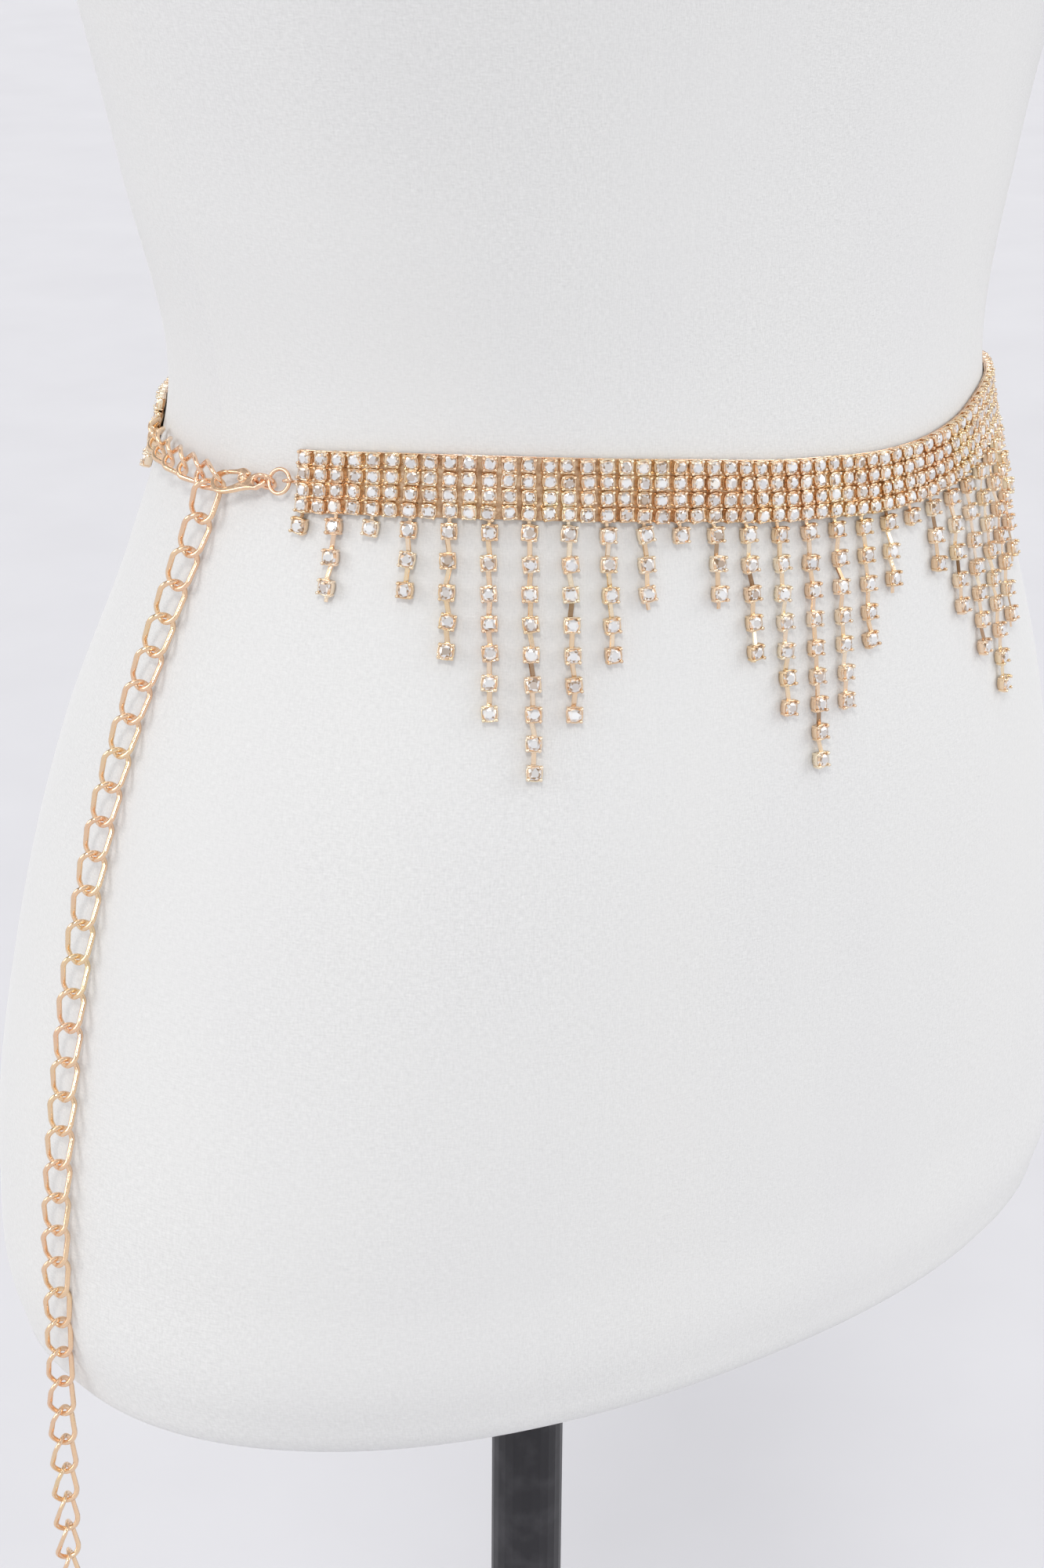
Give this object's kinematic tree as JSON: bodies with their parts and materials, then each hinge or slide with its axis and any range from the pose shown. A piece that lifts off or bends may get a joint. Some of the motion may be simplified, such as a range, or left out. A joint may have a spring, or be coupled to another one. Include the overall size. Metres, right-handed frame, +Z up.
{
  "type": "rhinestone fringe belt on a limbless dress form with a pole stand",
  "caption": "Stone-set metal band with a fringe of hanging stone strands, closed by a lobster clasp on a curb chain, resting on a limbless dress form on a pole and round base.",
  "frame": {"origin": "middle of the base plate's underside, on the pole's axis", "axes": "+Z up along the pole; the form faces -Y, and its right side, where the belt closes, is at -X"},
  "size_m": [0.3438, 0.3, 1.52],
  "materials": {
    "white_jersey": "matte knitted cover",
    "black_metal": "gloss black",
    "set_stones": "clear cut stones in polished pale gold cups",
    "gold_metal": "polished pale gold"
  },
  "bodies": {
    "root": {"dress_form": "white_jersey", "pole": "black_metal", "base_plate": "black_metal", "gem_band": "set_stones", "fringe_01": "set_stones", "fringe_02": "set_stones", "fringe_03": "set_stones", "fringe_04": "set_stones", "fringe_05": "set_stones", "fringe_06": "set_stones", "fringe_07": "set_stones", "end_loop_front": "gold_metal", "ring_a": "gold_metal", "ring_b": "gold_metal", "clasp_body": "gold_metal", "clasp_lever": "gold_metal", "link_waist_01": "gold_metal", "link_waist_02": "gold_metal", "link_waist_03": "gold_metal", "link_waist_04": "gold_metal", "link_waist_05": "gold_metal", "link_waist_06": "gold_metal", "end_loop_back": "gold_metal", "link_hang_01": "gold_metal", "link_hang_02": "gold_metal", "link_hang_03": "gold_metal", "link_hang_04": "gold_metal", "link_hang_05": "gold_metal", "link_hang_06": "gold_metal", "link_hang_07": "gold_metal", "link_hang_08": "gold_metal", "link_hang_09": "gold_metal", "link_hang_10": "gold_metal", "link_hang_11": "gold_metal", "link_hang_12": "gold_metal", "link_hang_13": "gold_metal", "link_hang_14": "gold_metal", "link_hang_15": "gold_metal", "link_hang_16": "gold_metal", "link_hang_17": "gold_metal", "link_hang_18": "gold_metal", "link_hang_19": "gold_metal", "link_hang_20": "gold_metal", "link_hang_21": "gold_metal", "link_hang_22": "gold_metal", "link_hang_23": "gold_metal", "link_hang_24": "gold_metal", "link_hang_25": "gold_metal", "link_hang_26": "gold_metal", "link_hang_27": "gold_metal", "link_hang_28": "gold_metal", "link_hang_29": "gold_metal", "link_hang_30": "gold_metal", "link_hang_31": "gold_metal", "link_hang_32": "gold_metal", "link_hang_33": "gold_metal", "link_hang_34": "gold_metal", "link_hang_35": "gold_metal", "link_hang_36": "gold_metal", "link_hang_37": "gold_metal"}
  },
  "joints": []
}
